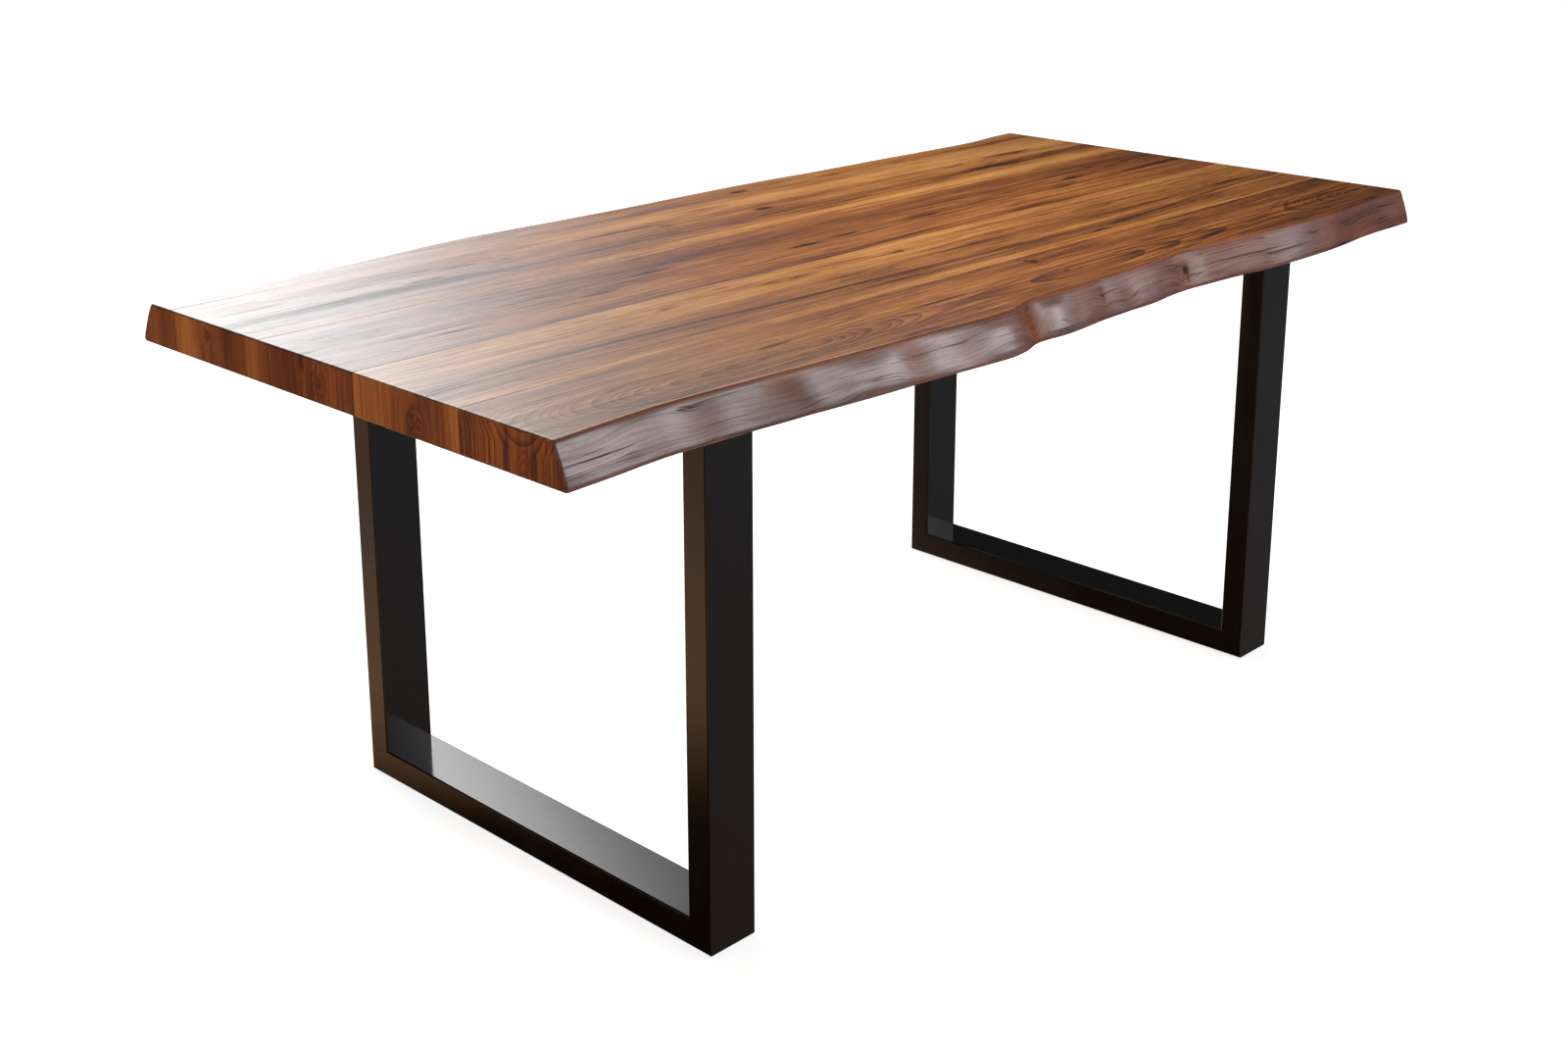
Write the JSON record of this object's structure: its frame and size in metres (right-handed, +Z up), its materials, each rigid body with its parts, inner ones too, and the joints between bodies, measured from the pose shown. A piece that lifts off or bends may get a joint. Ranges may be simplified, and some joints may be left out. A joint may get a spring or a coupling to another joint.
{
  "type": "dining table",
  "caption": "Dining table with a live-edge plank top of glued boards on welded U-shaped steel frames, bolted up from below through slotted plates",
  "frame": {"origin": "on the floor under the middle of the table, at the bottom centre of its bounding box", "axes": "+X runs along the boards, +Y across them from the nearer live edge to the farther one, +Z up"},
  "size_m": [1.856, 0.9093, 0.76],
  "materials": {
    "top_boards": "satin-gloss lacquered solid hardwood, reddish brown with light golden bands",
    "dowels": "plain beech",
    "frame_steel": "semi-gloss black powder coat",
    "zinc_fasteners": "bright zinc plated steel",
    "inserts": "yellow zinc plated threaded insert",
    "glides": "dark felt"
  },
  "bodies": {
    "root": {"board_back_live_edge": "top_boards", "board_back_inner": "top_boards", "board_middle": "top_boards", "board_front_inner": "top_boards", "board_front_live_edge": "top_boards", "dowel_1_1": "dowels", "dowel_1_2": "dowels", "dowel_1_3": "dowels", "dowel_1_4": "dowels", "dowel_2_1": "dowels", "dowel_2_2": "dowels", "dowel_2_3": "dowels", "dowel_2_4": "dowels", "dowel_3_1": "dowels", "dowel_3_2": "dowels", "dowel_3_3": "dowels", "dowel_3_4": "dowels", "dowel_4_1": "dowels", "dowel_4_2": "dowels", "dowel_4_3": "dowels", "dowel_4_4": "dowels", "frame_left_rail": "frame_steel", "frame_left_upright_front": "frame_steel", "frame_left_upright_back": "frame_steel", "frame_left_mounting_plate": "frame_steel", "frame_right_rail": "frame_steel", "frame_right_upright_front": "frame_steel", "frame_right_upright_back": "frame_steel", "frame_right_mounting_plate": "frame_steel", "bolt_left_1": "zinc_fasteners", "washer_left_1": "zinc_fasteners", "threaded_insert_left_1": "inserts", "bolt_left_2": "zinc_fasteners", "washer_left_2": "zinc_fasteners", "threaded_insert_left_2": "inserts", "bolt_left_3": "zinc_fasteners", "washer_left_3": "zinc_fasteners", "threaded_insert_left_3": "inserts", "bolt_left_4": "zinc_fasteners", "washer_left_4": "zinc_fasteners", "threaded_insert_left_4": "inserts", "bolt_right_1": "zinc_fasteners", "washer_right_1": "zinc_fasteners", "threaded_insert_right_1": "inserts", "bolt_right_2": "zinc_fasteners", "washer_right_2": "zinc_fasteners", "threaded_insert_right_2": "inserts", "bolt_right_3": "zinc_fasteners", "washer_right_3": "zinc_fasteners", "threaded_insert_right_3": "inserts", "bolt_right_4": "zinc_fasteners", "washer_right_4": "zinc_fasteners", "threaded_insert_right_4": "inserts", "glide_left_front": "glides", "glide_left_back": "glides", "glide_right_front": "glides", "glide_right_back": "glides"}
  },
  "joints": []
}
